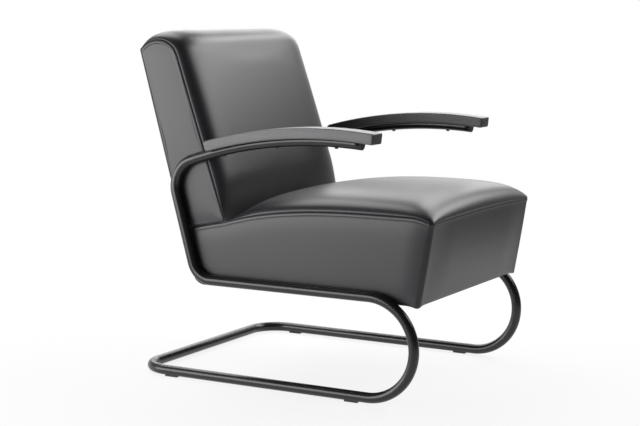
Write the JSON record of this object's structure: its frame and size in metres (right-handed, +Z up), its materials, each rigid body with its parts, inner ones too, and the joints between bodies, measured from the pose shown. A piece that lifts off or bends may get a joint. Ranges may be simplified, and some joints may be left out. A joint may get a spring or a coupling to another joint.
{
  "type": "cantilever lounge chair",
  "caption": "Cantilever lounge chair: one bent steel tube forms runners, front loops, uprights and arms round an upholstered leather seat and back, with bowed wooden arm pads.",
  "frame": {"origin": "on the floor, under the middle of the chair's box", "axes": "+Z up, the chair faces -Y, +X to the right of someone who looks along +Y"},
  "size_m": [0.662, 0.8094, 0.853],
  "materials": {
    "tube_lacquer": "gloss black lacquer on steel tube",
    "black_plastic": "moulded, satin",
    "zinc_steel": "zinc plated",
    "dark_steel": "blackened",
    "spring_steel": "oiled wire",
    "stained_wood": "dark stained ash, satin lacquer",
    "frame_wood": "planed birch",
    "hardboard": "pressed fibre",
    "leather": "smooth semi-gloss black leather",
    "upholstery_foam": "polyurethane foam",
    "felt": "needled felt",
    "pale_cloth": "woven, flat",
    "black_cloth": "thin non-woven",
    "webbing": "rubberised webbing"
  },
  "bodies": {
    "root": {"frame_tube": "tube_lacquer", "tube_end_plugs": "black_plastic", "floor_glides": "black_plastic", "threaded_bushes": "zinc_steel", "saddle_spacers": "black_plastic", "frame_bolts": "dark_steel", "bolt_washers": "zinc_steel", "arm_pad_left": "stained_wood", "arm_pad_right": "stained_wood", "arm_pad_screws": "zinc_steel", "seat_rail_left": "frame_wood", "seat_rail_right": "frame_wood", "seat_front_rail": "frame_wood", "seat_rear_rail": "frame_wood", "seat_rear_ledge": "frame_wood", "seat_corner_blocks": "frame_wood", "seat_springs": "spring_steel", "spring_clips": "zinc_steel", "spring_cloth": "pale_cloth", "seat_foam": "upholstery_foam", "seat_side_pads": "felt", "seat_leather_top": "leather", "seat_leather_band": "leather", "seat_leather_rear": "leather", "seat_dust_cover": "black_cloth", "back_stile_left": "frame_wood", "back_stile_right": "frame_wood", "back_top_rail": "frame_wood", "back_low_rail": "frame_wood", "back_webbing": "webbing", "back_board": "hardboard", "back_foam": "upholstery_foam", "back_side_pads": "felt", "back_leather_front": "leather", "back_leather_rear": "leather", "back_leather_left": "leather", "back_leather_right": "leather", "joining_screws": "zinc_steel"}
  },
  "joints": []
}
